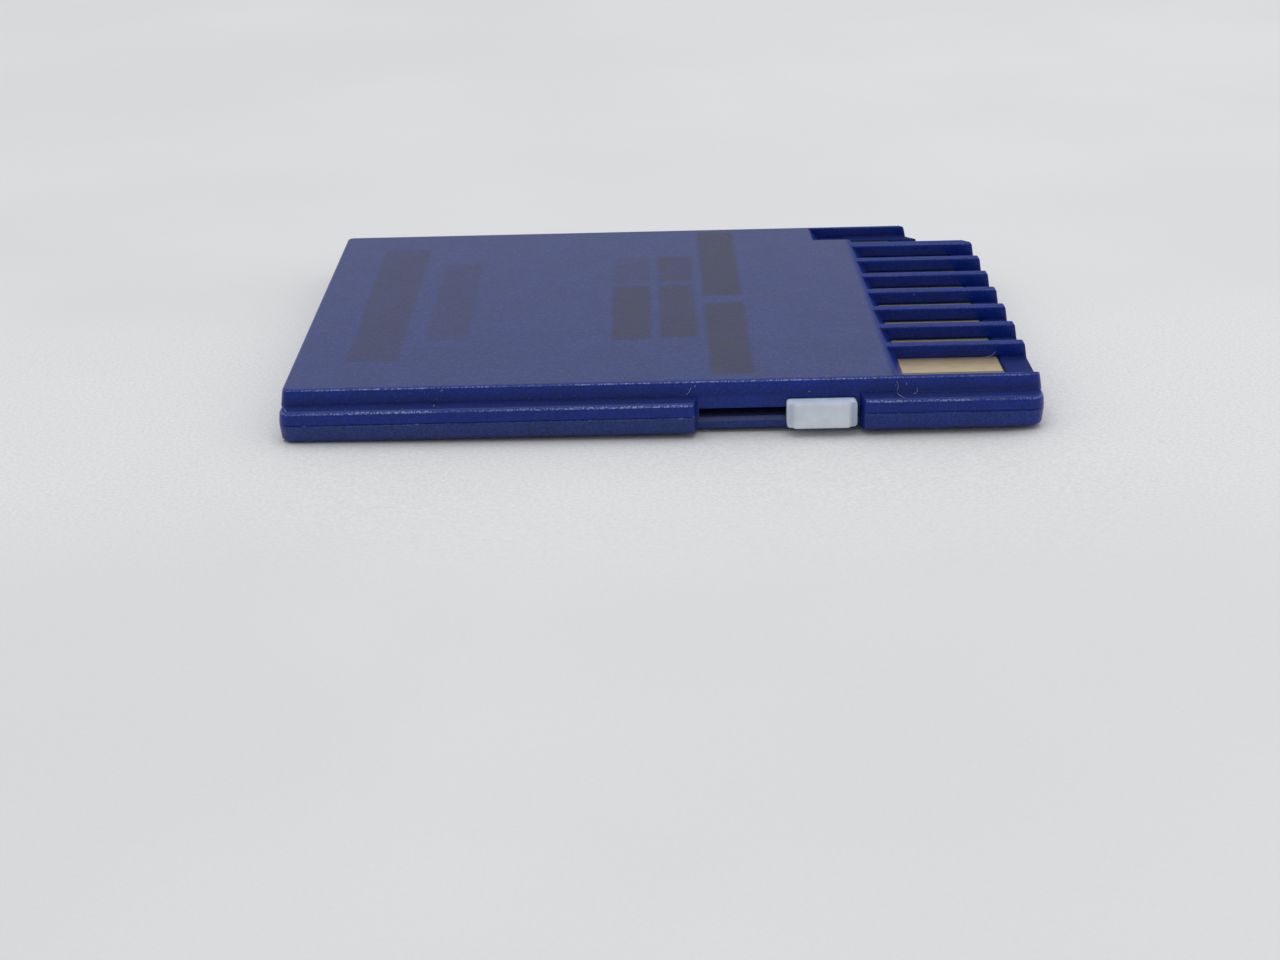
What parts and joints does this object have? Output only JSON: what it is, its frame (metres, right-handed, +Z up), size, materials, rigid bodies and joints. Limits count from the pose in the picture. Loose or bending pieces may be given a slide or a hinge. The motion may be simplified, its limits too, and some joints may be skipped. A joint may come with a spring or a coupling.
{
  "type": "memory card",
  "caption": "Thin rectangular memory card with one cut corner, ledged sides, ribbed contact slots and a small white write-protect slider in a side notch.",
  "frame": {"origin": "middle of the underside, the label side, which the card lies on", "axes": "+X along the length to the contact end, +Y across to the side with the cut corner, -Y the side with the write-protect slider, +Z up out of the contact side"},
  "size_m": [0.032, 0.024, 0.0021],
  "materials": {
    "contact_side_plastic": "fine spark-eroded grain on the flat face, semi-gloss sides",
    "label_side_plastic": "semi-gloss",
    "slider_plastic": "smooth, slightly see-through",
    "board_resist": "dark lacquer",
    "contact_gold": "satin gold plating",
    "chip_moulding": "matte",
    "tinned_metal": "tinned",
    "capacitor_ceramic": "fired ceramic",
    "resistor_glaze": "glaze"
  },
  "bodies": {
    "card": {"label_shell": "label_side_plastic", "contact_shell": "contact_side_plastic", "circuit_board": "board_resist", "contact_1": "contact_gold", "contact_2": "contact_gold", "contact_3": "contact_gold", "contact_4": "contact_gold", "contact_5": "contact_gold", "contact_6": "contact_gold", "contact_7": "contact_gold", "contact_8": "contact_gold", "contact_9": "contact_gold", "flash_package": "chip_moulding", "flash_leads": "tinned_metal", "controller_chip": "chip_moulding", "controller_terminals": "tinned_metal", "capacitor_bodies": "capacitor_ceramic", "capacitor_ends": "tinned_metal", "resistor_bodies": "resistor_glaze", "resistor_ends": "tinned_metal", "test_pads": "contact_gold"},
    "slider": {"write_protect_slider": "slider_plastic"}
  },
  "joints": [
    {"name": "write_protect_slide", "type": "slide", "parent": "card", "child": "slider", "axis": [-1, 0, 0], "range_m": [0, 0.0036]}
  ]
}
